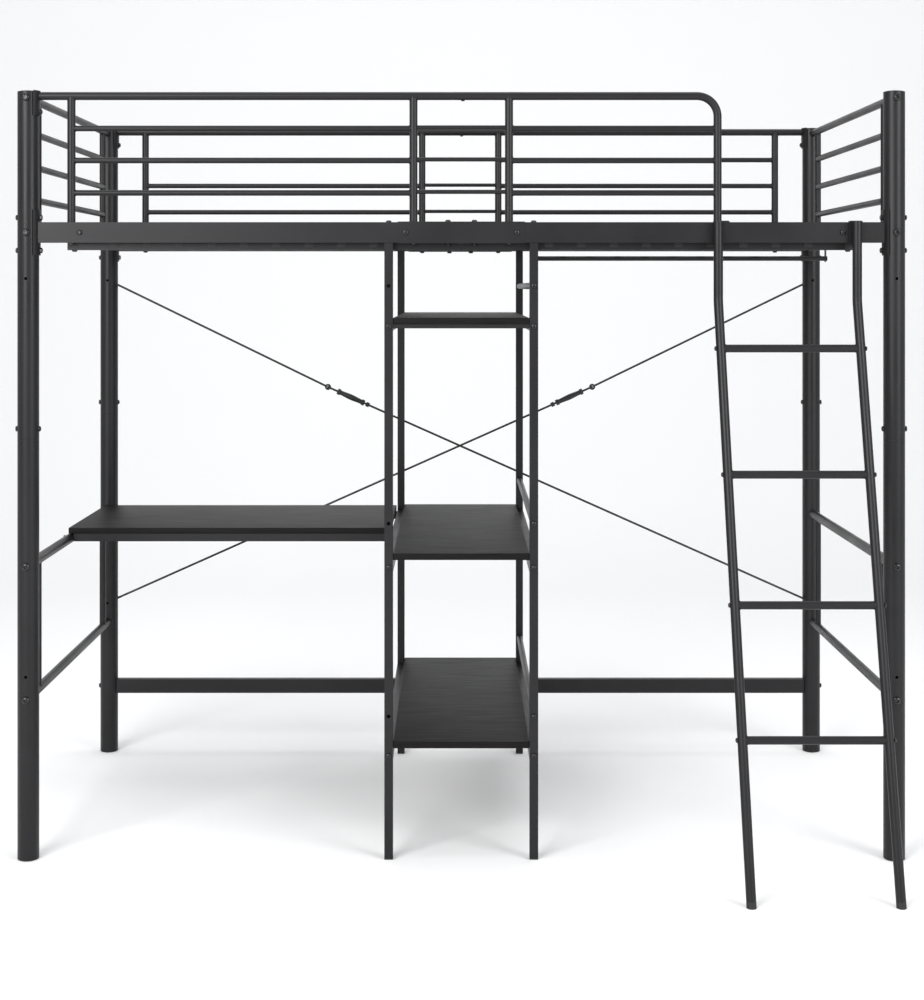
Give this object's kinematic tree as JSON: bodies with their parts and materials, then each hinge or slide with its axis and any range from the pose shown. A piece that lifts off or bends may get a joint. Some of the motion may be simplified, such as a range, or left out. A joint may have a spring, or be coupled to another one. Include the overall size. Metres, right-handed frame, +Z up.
{
  "type": "loft bed with desk",
  "caption": "High sleeper bed in dark coated steel tube with slatted base, guards, hook-on ladder, desk, open shelf unit, hanging rail and cross-braced back.",
  "frame": {"origin": "centre of the overall footprint, ladder included, on the floor", "axes": "+Z up, +X along the bed towards the ladder end, +Y from the ladder side to the back"},
  "size_m": [2.0892, 1.2847, 1.8],
  "materials": {
    "powder_coat": "satin",
    "dark_board": "satin",
    "black_plastic": "matte",
    "black_bolts": "gloss",
    "brace_steel": "satin"
  },
  "bodies": {
    "bed": {"back_stretcher": "powder_coat", "brace_eye_screws": "brace_steel", "brace_lower_rods": "brace_steel", "brace_upper_rods": "brace_steel", "clothes_rail": "powder_coat", "clothes_rail_hangers": "powder_coat", "desk_bolts": "black_bolts", "desk_rails": "powder_coat", "desk_top": "dark_board", "end_frame_lower_left": "powder_coat", "end_frame_lower_right": "powder_coat", "end_frame_upper_left": "powder_coat", "end_frame_upper_right": "powder_coat", "guard_bolts": "black_bolts", "guard_front_left": "powder_coat", "guard_front_right": "powder_coat", "guard_link_bars": "powder_coat", "guard_rear_left": "powder_coat", "guard_rear_right": "powder_coat", "guard_sleeves": "powder_coat", "post_bolts": "black_bolts", "post_caps": "black_plastic", "post_feet": "black_plastic", "post_sleeves": "powder_coat", "posts_lower_front": "powder_coat", "posts_lower_rear": "powder_coat", "posts_upper_front": "powder_coat", "posts_upper_rear": "powder_coat", "rail_bolts": "black_bolts", "rail_front_left": "powder_coat", "rail_front_right": "powder_coat", "rail_joiners": "powder_coat", "rail_rear_left": "powder_coat", "rail_rear_right": "powder_coat", "shelf_lower": "dark_board", "shelf_middle": "dark_board", "shelf_supports_left": "powder_coat", "shelf_supports_right": "powder_coat", "shelf_top": "dark_board", "side_bolts": "black_bolts", "slat_panel_left": "powder_coat", "slat_panel_right": "powder_coat", "slat_plugs": "black_plastic", "slats": "powder_coat", "unit_bolts": "black_bolts", "unit_feet": "black_plastic", "unit_side_bars": "powder_coat", "unit_sleeves": "powder_coat", "unit_uprights_lower": "powder_coat", "unit_uprights_upper": "powder_coat"},
    "ladder": {"ladder_stiles_upper": "powder_coat", "ladder_stiles_lower": "powder_coat", "ladder_sleeves": "powder_coat", "ladder_rungs": "powder_coat", "ladder_hooks": "powder_coat", "ladder_feet": "black_plastic", "ladder_stile_caps": "black_plastic", "ladder_bolts": "black_bolts"},
    "turnbuckle_left": {"turnbuckle_left": "brace_steel"},
    "turnbuckle_right": {"turnbuckle_right": "brace_steel"}
  },
  "joints": [
    {"name": "ladder_lift", "type": "slide", "parent": "bed", "child": "ladder", "axis": [0, 0, 1], "range_m": [0, 0.08]},
    {"name": "turnbuckle_left_turn", "type": "hinge", "parent": "bed", "child": "turnbuckle_left", "pos_m": [-0.31558, 0.60705, 1.02145], "axis": [0.9136, 0, -0.4065], "continuous": true},
    {"name": "turnbuckle_right_turn", "type": "hinge", "parent": "bed", "child": "turnbuckle_right", "pos_m": [0.31558, 0.61545, 1.02145], "axis": [-0.9136, 0, -0.4065], "continuous": true}
  ]
}
